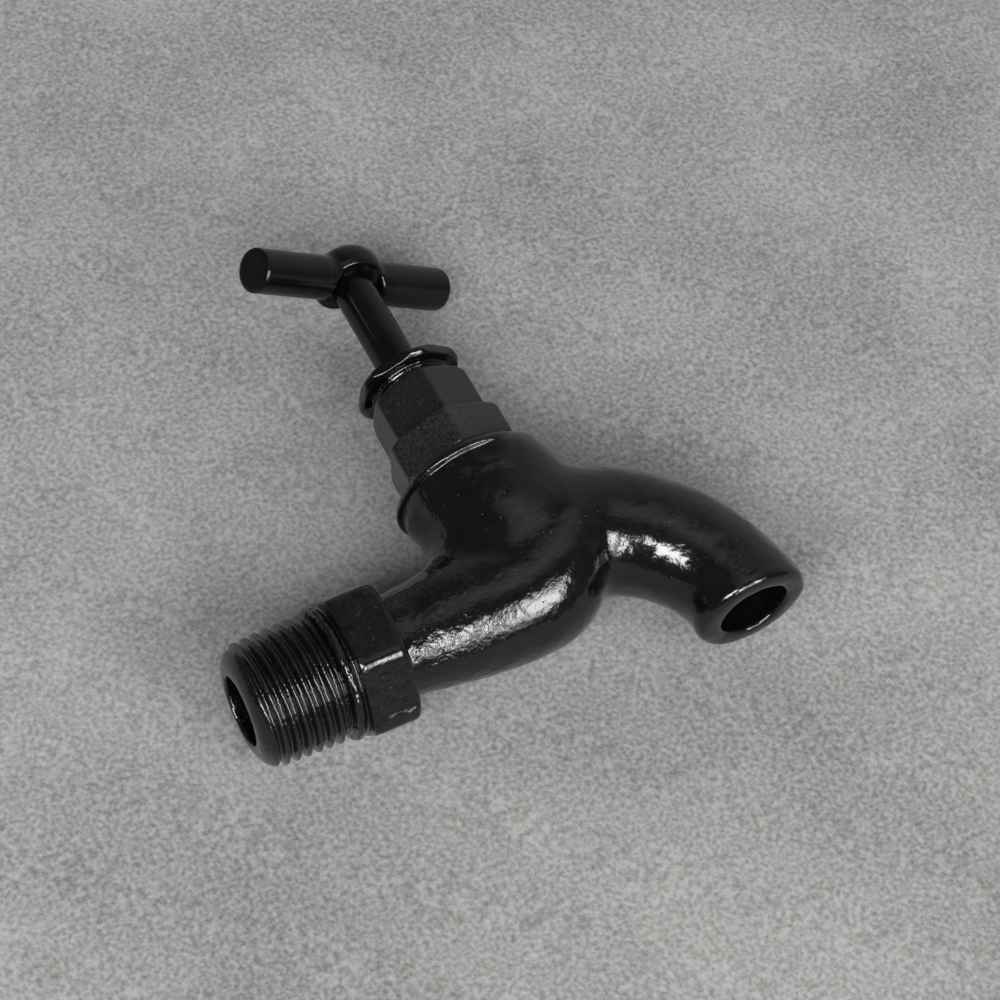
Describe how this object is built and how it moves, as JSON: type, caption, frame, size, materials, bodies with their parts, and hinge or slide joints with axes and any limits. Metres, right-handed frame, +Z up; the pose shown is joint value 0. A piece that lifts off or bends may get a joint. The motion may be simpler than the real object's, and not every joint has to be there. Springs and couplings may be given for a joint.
{
  "type": "water tap",
  "caption": "Bib tap: cast body with a tapered inlet thread and a down-turned spout, hexagon bonnet, gland nut, rising spindle and T-shaped handle.",
  "frame": {"origin": "centre of the inlet thread's open end, on the inlet's axis", "axes": "+X along the inlet from its open end towards the spout, +Z up along the spindle, Y = 0 the plane of symmetry of the casting"},
  "size_m": [0.09, 0.0306, 0.0889],
  "materials": {
    "black_enamel": "glossy black enamel over an orange-peel casting",
    "black_polished": "smooth glossy black",
    "brass": "turned",
    "washer_rubber": "matte",
    "washer_fibre": "matte fibre",
    "packing_yarn": "greased yarn",
    "screw_steel": "dark turned steel"
  },
  "bodies": {
    "fixed_body": {"tap_body": "black_enamel", "valve_seat": "brass", "body_washer": "washer_fibre", "bonnet": "black_enamel", "packing_washer": "brass", "gland_packing": "packing_yarn", "gland_nut": "black_enamel"},
    "jumper_set": {"jumper": "brass", "tap_washer": "washer_rubber", "washer_nut": "brass"},
    "spindle_set": {"spindle": "black_polished", "t_handle": "black_polished", "handle_screw": "screw_steel"}
  },
  "joints": [
    {"name": "jumper_lift", "type": "slide", "parent": "fixed_body", "child": "jumper_set", "axis": [0, 0, 1], "range_m": [0, 0.005]},
    {"name": "spindle_turn", "type": "hinge", "parent": "jumper_set", "child": "spindle_set", "pos_m": [0.0502, 0, 0.0668], "axis": [0, 0, 1], "range_deg": [0, 900]}
  ],
  "couplings": [
    {"joint": "jumper_lift", "follows": "spindle_turn", "m_per_rad": 0.0003183}
  ]
}
